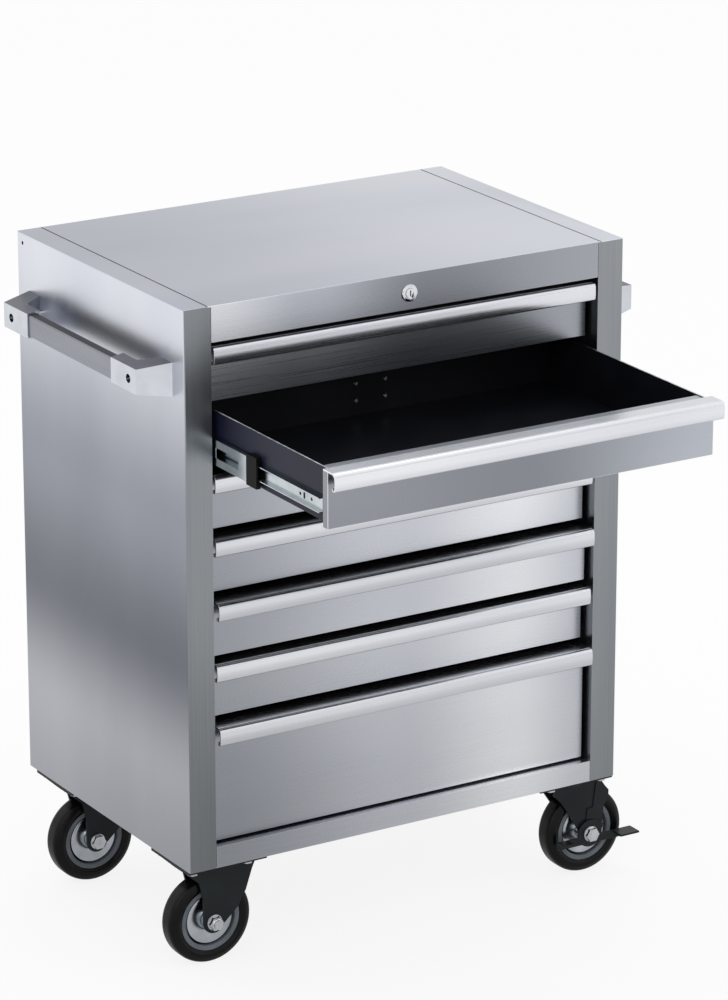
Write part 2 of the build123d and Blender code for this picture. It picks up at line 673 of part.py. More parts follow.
def fork_leg(centre_x, centre_y, outline):
    """Two equal fork legs beside a wheel, from an outline that runs round the axle eye."""
    for level in (-1, 1):
        with BuildSketch(Plane.XZ.offset(-centre_y - max(level * fork_inner, level * fork_outer))) as leg:
            with BuildLine():
                Polyline(*outline, close=True)
            make_face()
            with Locations((centre_x, axle_z)):
                Circle(fork_eye_radius)
        extrude(leg.sketch, amount=fork_wall)
    rod(axle_radius + shaft_clearance, (centre_x, axle_z), (centre_y - fork_outer, centre_y + fork_outer),
        mode=Mode.SUBTRACT)


# ---- Fasteners of the body: push handle screws, caster bolts and the rigid casters' axle bolts ---
with BuildPart() as push_screws:
    head_x = outer_x - push_hole_depth
    for end in (-1, 1):
        with BuildSketch(Plane.YZ.offset(head_x)):
            with Locations((end * push_screw_y, push_z)):
                Circle(screw_head_radius)
        extrude(amount=screw_head_height)
        with BuildSketch(Plane.YZ.offset(half_width - sheet)):
            with Locations((end * push_screw_y, push_z)):
                Circle(screw_radius)
        extrude(amount=head_x - half_width + sheet)
        with BuildSketch(Plane.YZ.offset(half_width - sheet)):
            with Locations((end * push_screw_y, push_z)):
                RegularPolygon(screw_head_radius, 6, major_radius=False)
        extrude(amount=-screw_nut_height)
    mirror(about=Plane.YZ)
with BuildPart() as caster_bolts:
    plate_bottom_z = under_z - plate_thickness
    with BuildSketch(Plane.XY.offset(plate_bottom_z)):
        with Locations(*plate_bolts):
            RegularPolygon(caster_bolt_flats / 2, 6, major_radius=False)
    extrude(amount=-caster_bolt_head)
    with BuildSketch(Plane.XY.offset(plate_bottom_z)):
        with Locations(*plate_bolts):
            Circle(caster_bolt_radius)
    extrude(amount=plate_thickness + sheet)
    with BuildSketch(Plane.XY.offset(under_z + sheet)):
        with Locations(*plate_bolts):
            RegularPolygon(caster_bolt_flats / 2, 6, major_radius=False)
    extrude(amount=caster_nut)
rigid_axles = (axle_bolt(-caster_x, front_caster_y, -1, fork_outer)
               + axle_bolt(-caster_x, rear_caster_y, 1, fork_outer))
cabinet_fasteners = Compound(label="cabinet_fasteners",
                             children=[push_screws.part, caster_bolts.part, *rigid_axles])
export_step(cabinet_fasteners, "parts/cabinet_fasteners.step")


def mounting_plate(centre_x, centre_y):
    """Caster plate with its four bolt holes, under the base."""
    outwards = math.copysign(1, centre_x)
    slab((centre_x - outwards * plate_inner_reach, centre_x + outwards * plate_outer_reach),
         (centre_y - plate_y / 2, centre_y + plate_y / 2),
         (under_z - plate_thickness, under_z))
    with BuildSketch(Plane.XY.offset(under_z - plate_thickness)) as holes:
        with Locations((centre_x, centre_y)):
            with GridLocations(plate_bolt_x, plate_bolt_y, 2, 2):
                Circle(caster_bolt_radius + shaft_clearance)
    extrude(holes.sketch, amount=plate_thickness, mode=Mode.SUBTRACT)


# ---- Rigid casters on the left -------------------------------------------------------------------
plate_z = under_z - plate_thickness
with BuildPart() as rigid_caster_forks:
    for centre_y in (front_caster_y, rear_caster_y):
        mounting_plate(-caster_x, centre_y)
        drop = plate_z - axle_z
        fork_leg(-caster_x, centre_y, [
            (-caster_x - fork_eye_radius, axle_z), (-caster_x - fork_eye_radius, axle_z + 0.4 * drop),
            (-caster_x - 1.4 * fork_eye_radius, axle_z + 0.68 * drop),
            (-caster_x - 2.3 * fork_eye_radius, axle_z + 0.82 * drop),
            (-caster_x - plate_outer_reach, plate_z),
            (-caster_x + plate_inner_reach, plate_z), (-caster_x + plate_inner_reach, plate_z - 0.1 * drop),
            (-caster_x + plate_inner_reach - 0.4 * fork_eye_radius, axle_z + 0.74 * drop),
            (-caster_x + 3.1 * fork_eye_radius, axle_z + 0.41 * drop),
            (-caster_x + 2.7 * fork_eye_radius, axle_z + 0.3 * drop),
            (-caster_x + 2.35 * fork_eye_radius, axle_z + 0.17 * drop),
            (-caster_x + fork_eye_radius, axle_z - 0.05 * drop)])
rigid_caster_forks.part.label = "rigid_caster_forks"
export_step(rigid_caster_forks.part, "parts/rigid_caster_forks.step")

# ---- Swivel casters on the right: fixed plates with raceway and kingpin --------------------------
with BuildPart() as swivel_caster_plates:
    for centre_y in (front_caster_y, rear_caster_y):
        mounting_plate(caster_x, centre_y)
        with BuildSketch(Plane.XY.offset(plate_z)):
            with Locations((caster_x, centre_y)):
                Circle(raceway_radius)
        extrude(amount=-raceway_height)
        pin_length = raceway_height + 2 * swivel_gap + swivel_head_height + plate_thickness
        with BuildSketch(Plane.XY.offset(plate_z)):
            with Locations((caster_x, centre_y)):
                Circle(kingpin_radius)
        extrude(amount=-pin_length)
        with BuildSketch(Plane.XY.offset(plate_z - pin_length)):
            with Locations((caster_x, centre_y)):
                Circle(kingpin_head_radius)
        extrude(amount=-kingpin_head)
swivel_caster_plates.part.label = "swivel_caster_plates"
export_step(swivel_caster_plates.part, "parts/swivel_caster_plates.step")

for place, centre_y in (("front", front_caster_y), ("rear", rear_caster_y)):
    wheel_x = caster_x + swivel_offset
    crown_z = fork_top_z - swivel_head_height
    crown_low = crown_z - plate_thickness

    # Swivel fork: bearing head, crown plate and two legs that trail the axle.
    with BuildPart() as fork_body:
        with BuildSketch(Plane.XY.offset(crown_z)):
            with Locations((caster_x, centre_y)):
                Circle(raceway_radius)
        extrude(amount=swivel_head_height)
        slab((caster_x - 0.7 * raceway_radius, caster_x + 1.5 * raceway_radius),
             (centre_y - fork_outer, centre_y + fork_outer), (crown_low, crown_z))
        fork_leg(wheel_x, centre_y, [
            (wheel_x - fork_eye_radius, axle_z), (wheel_x - fork_eye_radius, axle_z + 0.3 * fork_eye_radius),
            (wheel_x - 2 * fork_eye_radius, axle_z + 2 * fork_eye_radius),
            (wheel_x - 2.9 * fork_eye_radius, axle_z + 3.35 * fork_eye_radius),
            (caster_x - 0.7 * raceway_radius, crown_low - 0.5 * fork_eye_radius),
            (caster_x - 0.7 * raceway_radius, crown_z), (caster_x + 1.5 * raceway_radius, crown_z),
            (wheel_x + 2.1 * fork_eye_radius, crown_low - fork_eye_radius),
            (wheel_x + 2.1 * fork_eye_radius, axle_z + 2.9 * fork_eye_radius),
            (wheel_x + 1.6 * fork_eye_radius, axle_z + 2.2 * fork_eye_radius),
            (wheel_x + 1.5 * fork_eye_radius, axle_z + 0.8 * fork_eye_radius),
            (wheel_x + fork_eye_radius, axle_z)])
        with BuildSketch(Plane.XZ.offset(fork_outer - centre_y)):
            with BuildLine():
                Polyline((wheel_x + 0.7 * fork_eye_radius, crown_low),
                         (wheel_x + 0.4 * fork_eye_radius, axle_z + 2.35 * fork_eye_radius),
                         (wheel_x - 0.2 * fork_eye_radius, axle_z + 2.25 * fork_eye_radius),
                         (wheel_x - 0.3 * fork_eye_radius, axle_z + 1.1 * fork_eye_radius),
                         (wheel_x + 1.3 * fork_eye_radius, axle_z + 1.1 * fork_eye_radius),
                         (wheel_x + 1.5 * fork_eye_radius, axle_z + 2.25 * fork_eye_radius),
                         (wheel_x + 2 * fork_eye_radius, axle_z + 2.95 * fork_eye_radius),
                         (wheel_x + 2 * fork_eye_radius, axle_z + 3.6 * fork_eye_radius),
                         (wheel_x + 1.3 * fork_eye_radius, crown_low), close=True)
            make_face()
        extrude(amount=bracket_wall)
        rod(fork_eye_radius, (wheel_x, axle_z), (centre_y - bracket_outer, centre_y - fork_outer))
        rod(axle_radius + shaft_clearance, (wheel_x, axle_z),
            (centre_y - bracket_outer, centre_y - fork_outer), mode=Mode.SUBTRACT)
        with BuildSketch(Plane.XY.offset(crown_low)):
            with Locations((caster_x, centre_y)):
                Circle(kingpin_radius + shaft_clearance)
        extrude(amount=swivel_head_height + plate_thickness, mode=Mode.SUBTRACT)
    swivel_axle = axle_bolt(wheel_x, centre_y, 1, brake_outer + laid_gap)
    swivel_fork = Compound(label=f"{place}_swivel_fork", children=[fork_body.part, *swivel_axle])
    export_step(swivel_fork, f"parts/{place}_swivel_fork.step")

    # Brake rocker: a disc on the axle, an arm each way and a folded pedal at each end.
    with BuildPart() as brake_lever:
        outer_y = centre_y - brake_outer
        arm = (axle_z - brake_arm_drop - brake_arm_height / 2, axle_z - brake_arm_drop + brake_arm_height / 2)
        pedal = (arm[1] - brake_wall, arm[1])
        rod(brake_disc_radius, (wheel_x, axle_z), (outer_y, outer_y + brake_wall))
        slab((wheel_x - brake_inner_reach, wheel_x + brake_outer_reach), (outer_y, outer_y + brake_wall), arm)
        slab((wheel_x + brake_outer_reach - brake_pedal_length, wheel_x + brake_outer_reach),
             (outer_y - brake_pedal_width, outer_y), pedal)
        slab((wheel_x - brake_inner_reach, wheel_x - brake_inner_reach + brake_inner_pedal_length),
             (outer_y - brake_inner_pedal_width, outer_y), pedal)
        rod(axle_radius + shaft_clearance, (wheel_x, axle_z), (outer_y, outer_y + brake_wall),
            mode=Mode.SUBTRACT)
    brake_lever.part.label = f"{place}_brake_lever"
    export_step(brake_lever.part, f"parts/{place}_brake_lever.step")

# ---- Wheels --------------------------------------------------------------------------------------
wheel_places = (("front_left", -caster_x, front_caster_y), ("rear_left", -caster_x, rear_caster_y),
                ("front_right", caster_x + swivel_offset, front_caster_y),
                ("rear_right", caster_x + swivel_offset, rear_caster_y))
for name, x, y in wheel_places:
    turning_axis = Axis((x, y, axle_z), (0, 1, 0))
    section_plane = Plane(origin=(x, y, axle_z), x_dir=(1, 0, 0), z_dir=(0, 0, 1))
    half_tyre, half_tread, half_ring = tyre_width / 2, tread_width / 2, hub_ring_width / 2
    half_disc, half_boss = hub_disc_width / 2, fork_inner - boss_end_gap
    arc_radius = wheel_radius - 0.3 * tyre_shoulder
    arc_side = half_tyre - 0.3 * (half_tyre - half_tread)

    # Tyre: moulded rubber with rounded shoulders.
    with BuildPart() as tyre:
        with BuildSketch(section_plane):
            with BuildLine():
                Polyline((wheel_radius, -half_tread), (wheel_radius, half_tread))
                ThreePointArc((wheel_radius, half_tread), (arc_radius, arc_side),
                              (wheel_radius - tyre_shoulder, half_tyre))
                Polyline((wheel_radius - tyre_shoulder, half_tyre), (tyre_inner_radius, half_ring),
                         (tyre_inner_radius, -half_ring), (wheel_radius - tyre_shoulder, -half_tyre))
                ThreePointArc((wheel_radius - tyre_shoulder, -half_tyre), (arc_radius, -arc_side),
                              (wheel_radius, -half_tread))
            make_face()
        revolve(axis=turning_axis)
    tyre.part.label = f"{name}_tyre"
    export_step(tyre.part, f"parts/{name}_tyre.step")

    # Hub: outer ring, a groove, a dished disc and the boss that runs on the axle.
    with BuildPart() as hub:
        with BuildSketch(section_plane):
            groove_outer = hub_disc_radius + hub_groove
            patch((groove_outer, tyre_inner_radius), (-half_ring, half_ring))
            patch((hub_disc_radius, groove_outer), (-half_disc / 2, half_disc / 2))
            with BuildLine():
                Polyline((hub_disc_radius, -half_disc), (hub_boss_radius, hub_dish - half_disc),
                         (hub_boss_radius, half_disc - hub_dish), (hub_disc_radius, half_disc), close=True)
            make_face()
            patch((axle_radius + shaft_clearance, hub_boss_radius), (-half_boss, half_boss))
        revolve(axis=turning_axis)
    hub.part.label = f"{name}_hub"
    export_step(hub.part, f"parts/{name}_hub.step")
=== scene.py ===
import math

import bmesh
import bpy
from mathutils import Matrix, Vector


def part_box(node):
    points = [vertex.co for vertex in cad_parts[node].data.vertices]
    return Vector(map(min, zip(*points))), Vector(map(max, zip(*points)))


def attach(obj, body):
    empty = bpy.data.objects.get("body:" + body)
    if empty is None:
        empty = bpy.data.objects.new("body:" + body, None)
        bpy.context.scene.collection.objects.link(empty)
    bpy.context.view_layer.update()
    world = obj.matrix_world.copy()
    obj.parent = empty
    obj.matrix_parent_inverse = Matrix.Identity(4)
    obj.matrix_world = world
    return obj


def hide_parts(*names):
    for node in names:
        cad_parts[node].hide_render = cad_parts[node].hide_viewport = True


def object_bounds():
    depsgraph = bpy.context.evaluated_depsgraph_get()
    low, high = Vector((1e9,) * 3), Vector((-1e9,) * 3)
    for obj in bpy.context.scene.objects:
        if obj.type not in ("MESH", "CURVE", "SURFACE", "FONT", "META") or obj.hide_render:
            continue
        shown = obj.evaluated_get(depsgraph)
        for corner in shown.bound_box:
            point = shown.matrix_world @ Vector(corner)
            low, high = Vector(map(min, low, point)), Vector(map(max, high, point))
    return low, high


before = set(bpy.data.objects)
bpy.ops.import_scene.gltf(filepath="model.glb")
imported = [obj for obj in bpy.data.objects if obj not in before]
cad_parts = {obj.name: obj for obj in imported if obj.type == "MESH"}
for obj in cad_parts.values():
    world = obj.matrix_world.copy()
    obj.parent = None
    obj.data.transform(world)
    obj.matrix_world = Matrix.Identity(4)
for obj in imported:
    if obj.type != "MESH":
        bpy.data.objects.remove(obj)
cad_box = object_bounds()
MM = 0.001
DRAWERS = range(1, 8)
ENDS = ("front", "rear")


# ---- Nodes and colours --------------------------------------------------------------------------

def linear(hex_colour):
    """Linear RGBA of an sRGB hex colour."""
    parts = [int(hex_colour[i:i + 2], 16) / 255 for i in (1, 3, 5)]
    return [p / 12.92 if p <= 0.04045 else ((p + 0.055) / 1.055) ** 2.4 for p in parts] + [1.0]


def add(tree, kind, inputs=None, stops=(), blend="LINEAR", **settings):
    """Adds a node, sets its properties, and gives each named or numbered input a value or a link.

    stops are the (position, hex colour) pairs of a colour ramp, and blend is how it runs between them.
    """
    node = tree.nodes.new(kind)
    for key, value in settings.items():
        setattr(node, key, value)
    for key, value in (inputs or {}).items():
        if isinstance(value, bpy.types.NodeSocket):
            tree.links.new(value, node.inputs[key])
        else:
            node.inputs[key].default_value = value
    if stops:
        node.color_ramp.interpolation = blend
        elements = node.color_ramp.elements
        while len(elements) < len(stops):
            elements.new(0.5)
        for element, (position, colour) in zip(elements, stops):
            element.position, element.color = position, linear(colour)
    return node


def new_material(name):
    """An empty material with its tree and its output node."""
    material = bpy.data.materials.new(name)
    material.use_nodes = True
    material.node_tree.nodes.clear()
    return material, material.node_tree, material.node_tree.nodes.new("ShaderNodeOutputMaterial")


# ---- Materials ----------------------------------------------------------------------------------

SCRATCH_RATIO = 240  # length of a belt's scratch over its width
CLOUD_WIDTH_MM, CLOUD_LENGTH_MM = 200.0, 714.0  # patches of sheen across and along the grain
PAINT_CLOUD_MM = 71.4  # patches in the tone of powder paint
SCUFF_MM = 33.3  # patches of handling wear on plastic and rubber
RELIEF_MM = 0.1  # height of scratches, orange peel and moulded grain
PLATING_RELIEF_MM = 0.01


def finish(parts, colour, rough_by, rough_range, relief, strength, relief_mm=RELIEF_MM, **gloss):
    """The shader of a material: one pattern sets its roughness and one its bump."""
    material, tree, output = parts
    rough = add(tree, "ShaderNodeMapRange", {
        "Value": rough_by, "To Min": rough_range[0], "To Max": rough_range[1]}).outputs["Result"]
    bump = add(tree, "ShaderNodeBump", {
        "Strength": strength, "Distance": relief_mm * MM, "Height": relief}).outputs["Normal"]
    shader = add(tree, "ShaderNodeBsdfPrincipled", {
        "Base Color": colour, "Roughness": rough, "Normal": bump, **gloss})
    tree.links.new(shader.outputs[0], output.inputs["Surface"])
    return material


def brushed_metal(name, grain, dark, mid, light, roughness, line_mm=0.9, contrast=0.2, painted_shading=None):
    """Sheet or section drawn under a belt: long scratches along one axis over a faint cloudy sheen.

    grain is the axis that the scratches follow, and line_mm is their spacing across it. Real ones are
    about 0.1 mm apart, too fine to show, so they are drawn as coarse as the picture resolves.
    contrast is the scratches' share of the tone, and the clouds have the rest.
    The last argument is (axis, low, high, tones): painted shading, a slow change of tone along the sheet
    through these tones, multiplied into the colour.
    """
    parts = new_material(name)
    tree = parts[1]
    coords = add(tree, "ShaderNodeTexCoord").outputs["Object"]
    along = "XYZ".index(grain)
    line_scale = [1 / (line_mm * MM)] * 3
    line_scale[along] /= SCRATCH_RATIO
    cloud_scale = [1 / (CLOUD_WIDTH_MM * MM)] * 3
    cloud_scale[along] = 1 / (CLOUD_LENGTH_MM * MM)
    lines, clouds = [
        add(tree, "ShaderNodeTexNoise", {
            "Vector": add(tree, "ShaderNodeMapping", {"Vector": coords, "Scale": scale}).outputs[0],
            "Scale": 1.0, "Detail": 2.0, "Roughness": fineness}).outputs["Fac"]
        for scale, fineness in ((line_scale, 0.6), (cloud_scale, 0.45))]
    mixed = add(tree, "ShaderNodeMix", {
        "Factor": contrast, "A": clouds, "B": lines}, data_type="FLOAT").outputs[0]
    colour = add(tree, "ShaderNodeValToRGB", {"Fac": mixed},
                 [(0.25, dark), (0.5, mid), (0.75, light)]).outputs["Color"]
    # Painted light and shade: the colour is multiplied by a slow ramp of tones along one axis.
    if painted_shading:
        axis, low, high, tones = painted_shading
        place = add(tree, "ShaderNodeSeparateXYZ", {"Vector": coords}).outputs["XYZ".index(axis)]
        share = add(tree, "ShaderNodeMapRange", {
            "Value": place, "From Min": low, "From Max": high}).outputs["Result"]
        tone = add(tree, "ShaderNodeValToRGB", {"Fac": share}, tones, "EASE").outputs["Color"]
        colour = add(tree, "ShaderNodeMix", {"Factor": 1.0, "A": colour, "B": tone},
                     data_type="RGBA", blend_type="MULTIPLY").outputs["Result"]
    return finish(parts, colour, lines, (roughness - 0.06, roughness + 0.08), lines, 0.06, Metallic=1.0)


def plain_metal(name, dark, light, roughness, spot_mm):
    """Plated, cast or anodised metal: an even tone with a soft mottling at the plating's own scale."""
    parts = new_material(name)
    tree = parts[1]
    coords = add(tree, "ShaderNodeTexCoord").outputs["Object"]
    spots = add(tree, "ShaderNodeTexNoise", {
        "Vector": coords, "Scale": 1 / (spot_mm * MM), "Detail": 2.0, "Roughness": 0.5}).outputs["Fac"]
    colour = add(tree, "ShaderNodeValToRGB", {"Fac": spots}, [(0.3, dark), (0.7, light)]).outputs["Color"]
    rough_range = (max(roughness - 0.04, 0.03), roughness + 0.06)
    return finish(parts, colour, spots, rough_range, spots, 0.05, PLATING_RELIEF_MM, Metallic=1.0)


def powder_coat(name, dark, light, roughness, peel_mm, gloss):
    """Baked powder paint: a fine orange peel under an even, slightly cloudy tone."""
    parts = new_material(name)
    tree = parts[1]
    coords = add(tree, "ShaderNodeTexCoord").outputs["Object"]
    peel = add(tree, "ShaderNodeTexNoise", {
        "Vector": coords, "Scale": 1 / (peel_mm * MM), "Detail": 2.0}).outputs["Fac"]
    tone = add(tree, "ShaderNodeTexNoise", {
        "Vector": coords, "Scale": 1 / (PAINT_CLOUD_MM * MM), "Detail": 5.0}).outputs["Fac"]
    colour = add(tree, "ShaderNodeValToRGB", {"Fac": tone}, [(0.35, dark), (0.65, light)]).outputs["Color"]
    rough_range = (roughness - 0.06, roughness + 0.08)
    return finish(parts, colour, tone, rough_range, peel, 0.2, **{"Specular IOR Level": gloss})


def moulded(name, dark, light, roughness, grain_mm, bump=0.2):
    """Moulded plastic or rubber: a fine spark-eroded grain, and a scuffed tone from handling."""
    parts = new_material(name)
    tree = parts[1]
    coords = add(tree, "ShaderNodeTexCoord").outputs["Object"]
    grain = add(tree, "ShaderNodeTexNoise", {
        "Vector": coords, "Scale": 1 / (grain_mm * MM), "Detail": 3.0}).outputs["Fac"]
    scuff = add(tree, "ShaderNodeTexNoise", {
        "Vector": coords, "Scale": 1 / (SCUFF_MM * MM), "Detail": 6.0}).outputs["Fac"]
    colour = add(tree, "ShaderNodeValToRGB", {"Fac": scuff}, [(0.35, dark), (0.7, light)]).outputs["Color"]
    rough_range = (roughness - 0.1, roughness + 0.1)
    return finish(parts, colour, scuff, rough_range, grain, bump, **{"Specular IOR Level": 0.2})


# The body's own spans, over which the painted shading of a sheet changes.
side_low, side_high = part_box("right_side_panel")
body_bottom, body_top = side_low[2], side_high[2]
opening_half, body_half = side_low[0], side_high[0]

# Stainless steel 1.4301, belt-ground to grain 240: a bright grey with soft long reflections. Its broken
# edges take a near-white copy of the steel, a painted highlight that draws them as thin bright lines.
# The sides carry painted shading: darker across their lower middle and lightest at the top.
side_steel = brushed_metal(
    "brushed stainless, vertical grain", "Z", "#e4e5e8", "#f1f2f5", "#ffffff", 0.3,
    painted_shading=("Z", body_bottom, body_top, [(0.0, "#c3c5ca"), (0.15, "#c9cbd0"), (0.38, "#7b7e85"),
                                       (0.62, "#9da0a8"), (1.0, "#ebedf3")]))
back_steel = brushed_metal("brushed stainless, back", "Z", "#a4a7af", "#b4b7be", "#c4c7ce", 0.32)
# The corner posts are the same steel drawn darker than the fronts: painted shade.
post_steel_painted_shade = brushed_metal("brushed stainless, corner posts in painted shade", "Z", "#74787c", "#898d91", "#a0a4a8", 0.3)
# The worktop carries painted shading: darker on the left, lighter to the right.
top_steel = brushed_metal(
    "brushed stainless, worktop", "X", "#e8e9ec", "#f4f5f8", "#ffffff", 0.3,
    painted_shading=("X", -body_half, body_half, [(0.0, "#c0c2ca"), (1.0, "#e2e4ea")]))
# The inside of the body, uprights included, is the same steel drawn darker: painted shade.
inner_steel_painted_shade = brushed_metal("brushed stainless, inside in painted shade", "Z", "#6b6e73", "#84878d", "#9da0a6", 0.4)
# The fronts and the rails above and below them mirror the room, and each also carries its own painted
# shading, a slow change of tone from side to side.
front_steel, rail_steel, open_steel = [
    brushed_metal(f"brushed stainless, {name}", "X", "#e6e7ea", "#f3f4f7", "#ffffff", 0.28,
                  painted_shading=("X", -opening_half, opening_half, tones))
    for name, tones in (
        ("horizontal grain", [(0.0, "#acafb4"), (0.5, "#d8dadf"), (0.8, "#f8f9fb"), (1.0, "#d6d8dd")]),
        ("top rail", [(0.0, "#f4f5f8"), (0.25, "#c9ccd2"), (0.55, "#94979c"), (1.0, "#a8abb0")]),
        ("second front", [(0.0, "#9a9da3"), (0.5, "#8f9298"), (1.0, "#c0c3c9")]))]
# Painted highlight: a near-white steel for the broken edges.
painted_edge_highlight = plain_metal("steel edge, painted highlight", "#eef0f5", "#fafbfd", 0.3, 12.0)
# Extruded 6060 aluminium, satin anodised: paler and softer than the steel, with faint draw lines. The grip
# bars' top, bottom and back are drawn near-black: painted shade.
handle_aluminium = brushed_metal("satin anodised aluminium", "X", "#cdd0d6", "#e0e2e8", "#f2f3f7", 0.24, 0.8)
bar_aluminium = brushed_metal("brushed aluminium, grip bar", "Y", "#787b82", "#90939a", "#a6a9b0", 0.26,
                              0.8, 0.3)
bar_painted_shade = plain_metal("aluminium, painted shade", "#202225", "#2c2e32", 0.35, 20.0)
# Die-cast zinc, polished and chromed: sharp dark and light reflections; the tops are in painted shade.
bracket_metal = plain_metal("polished die-cast zinc", "#c6c9d0", "#d6d9df", 0.1, 40.0)
bracket_top_painted_shade = plain_metal("die-cast zinc, top in painted shade", "#5d6066", "#72757b", 0.3, 40.0)
# Electroplated zinc: bluish and slightly cloudy. Chrome is clearer and sharper.
zinc = plain_metal("bright zinc plating", "#bcc4c8", "#d2d9dc", 0.2, 30.0)
bolt_zinc = plain_metal("zinc plated bolt", "#c6c9cd", "#dcdee1", 0.16, 12.0)
disc_metal = plain_metal("spun zinc disc", "#b4bac1", "#ced3d9", 0.22, 30.0)
chrome = plain_metal("polished chrome", "#cfd2d6", "#dfe1e4", 0.07, 10.0)
# Polyester powder coat over steel: an even satin black with a blue cast on the trays. Their outer sides take
# a blue-grey copy, a painted reflection, and their rims are drawn light, partly rubbed paint, partly painted
# highlight.
tray_paint = powder_coat("blue-black powder coat", "#0c0d12", "#121319", 0.4, 0.6, 0.25)
tray_side_painted_reflection = powder_coat("black powder coat, painted blue-grey reflection", "#171a2b", "#1e2136", 0.4, 0.6, 0.25)
caster_paint = powder_coat("black powder coat", "#161a1c", "#1f2426", 0.3, 0.5, 0.2)
# Painted highlight along the tray rims, over paint rubbed there.
rim_wear_and_highlight = plain_metal("rubbed paint edge, painted highlight", "#a4a8b0", "#dde0e6", 0.25, 12.0)
# Solid rubber, with a low sheen, and filled polypropylene and acetal, which are matt.
tyre_rubber = moulded("black solid rubber", "#050506", "#09090b", 0.28, 0.4, 0.1)
rim_plastic = moulded("grey polypropylene", "#5e646a", "#6d737a", 0.35, 0.4)
black_plastic = moulded("black acetal", "#020202", "#040404", 0.5, 0.3)
# The bottom of a narrow gap, where no light comes.
dark_gap = moulded("unlit groove", "#030303", "#060606", 0.8, 0.5, 0.0)


# ---- Pieces -------------------------------------------------------------------------------------

MERGE = 1e-6  # corners nearer than this are one, in metres
FLAT_ANGLE = math.radians(0.5)  # triangles that meet at less than this make one face
SMOOTH_ANGLE = math.radians(32)
BROKEN_EDGE_ANGLE = math.radians(38)


def islands(mesh):
    """Groups of faces that hang together."""
    mesh.faces.ensure_lookup_table()
    seen = set()
    for start in mesh.faces:
        if start.index in seen:
            continue
        group, queue = [], [start]
        seen.add(start.index)
        while queue:
            face = queue.pop()
            group.append(face)
            for edge in face.edges:
                for other in edge.link_faces:
                    if other.index not in seen:
                        seen.add(other.index)
                        queue.append(other)
        yield group


def settle(piece, body, nodes=()):
    """Shades a finished piece and hands it to its body and the nodes it stands for."""
    mesh = piece.data
    mesh.polygons.foreach_set("use_smooth", [True] * len(mesh.polygons))
    mesh.set_sharp_from_angle(angle=SMOOTH_ANGLE)
    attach(piece, body)
    if nodes:
        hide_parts(*nodes)


def new_object(name, data):
    """An object at the origin that shows some data."""
    thing = bpy.data.objects.new(name, data)
    bpy.context.scene.collection.objects.link(thing)
    return thing


def new_piece(name, mesh, materials):
    """An object at the origin from a bmesh, which is used up."""
    data = bpy.data.meshes.new(name)
    mesh.to_mesh(data)
    mesh.free()
    for material in materials:
        data.materials.append(material)
    return new_object(name, data)


def dressed(node, body, materials, edge_mm, choose=None, steps=2, edge_material=None):
    """A copy of a CAD node with its triangles merged into faces and its edges broken.

    choose gives each face its material's number from the box of its loose piece and the face itself.
    edge_material, if given, is the material of the broken edges, a painted highlight.
    """
    mesh = bmesh.new()
    mesh.from_mesh(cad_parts[node].data)
    bmesh.ops.remove_doubles(mesh, verts=mesh.verts, dist=MERGE)
    if choose:
        for group in islands(mesh):
            corners = [v.co for f in group for v in f.verts]
            low = Vector([min(c[i] for c in corners) for i in range(3)])
            high = Vector([max(c[i] for c in corners) for i in range(3)])
            for face in group:
                face.material_index = choose(low, high, face)
    bmesh.ops.dissolve_limit(mesh, angle_limit=FLAT_ANGLE, verts=mesh.verts, edges=mesh.edges,
                             delimit={"MATERIAL"})
    piece = new_piece(node + "_dressed", mesh, materials + ([edge_material] if edge_material else []))
    settle(piece, body, [node])
    if edge_mm:
        bevel = piece.modifiers.new("broken edges", "BEVEL")
        bevel.width, bevel.segments = edge_mm * MM, steps
        bevel.limit_method, bevel.angle_limit = "ANGLE", BROKEN_EDGE_ANGLE
        bevel.harden_normals = True
        if edge_material:
            bevel.material = len(materials)


def lathe(mesh, profile, centre, steps):
    """Turns a closed profile of (radius, offset) points about the axis along Y through a centre."""
    ring = [mesh.verts.new((centre[0] + r, centre[1] + y, centre[2])) for r, y in profile]
    edges = [mesh.edges.new((ring[i], ring[(i + 1) % len(ring)])) for i in range(len(ring))]
    bmesh.ops.spin(mesh, geom=ring + edges, cent=centre, axis=(0, 1, 0), angle=math.tau,
                   steps=steps, use_merge=True)
    bmesh.ops.remove_doubles(mesh, verts=mesh.verts, dist=MERGE / 10)


def turned(name, profiles, centre, body, nodes, steps=96):
    """One lathe-turned piece from several (profile, material) pairs, offsets in millimetres."""
    whole = bmesh.new()
    materials = []
    for profile, material in profiles:
        part = bmesh.new()
        lathe(part, [(r * MM, y * MM) for r, y in profile], Vector(centre), steps)
        bmesh.ops.recalc_face_normals(part, faces=part.faces)
        if material not in materials:
            materials.append(material)
        for face in part.faces:
            face.material_index = materials.index(material)
        data = bpy.data.meshes.new("turned part")
        part.to_mesh(data)
        part.free()
        whole.from_mesh(data)
        bpy.data.meshes.remove(data)
    settle(new_piece(name, whole, materials), body, nodes)


def symmetric(half):
    """A closed profile from its half on and beyond the middle plane."""
    return half + [(r, -y) for r, y in reversed(half) if y]


def rounded(points, radius, steps):
    """A closed profile with each corner rounded."""
    out = []
    count = len(points)
    for i in range(count):
        here = Vector(points[i])
        before, after = Vector(points[i - 1]) - here, Vector(points[(i + 1) % count]) - here
        reach = min(radius, before.length * 0.45, after.length * 0.45)
        a, b = here + before.normalized() * reach, here + after.normalized() * reach
        for k in range(steps + 1):
            t = k / steps
            out.append(tuple((1 - t) ** 2 * a + 2 * t * (1 - t) * here + t * t * b))
    return out


# ---- Repeated small parts by geometry nodes -----------------------------------------------------

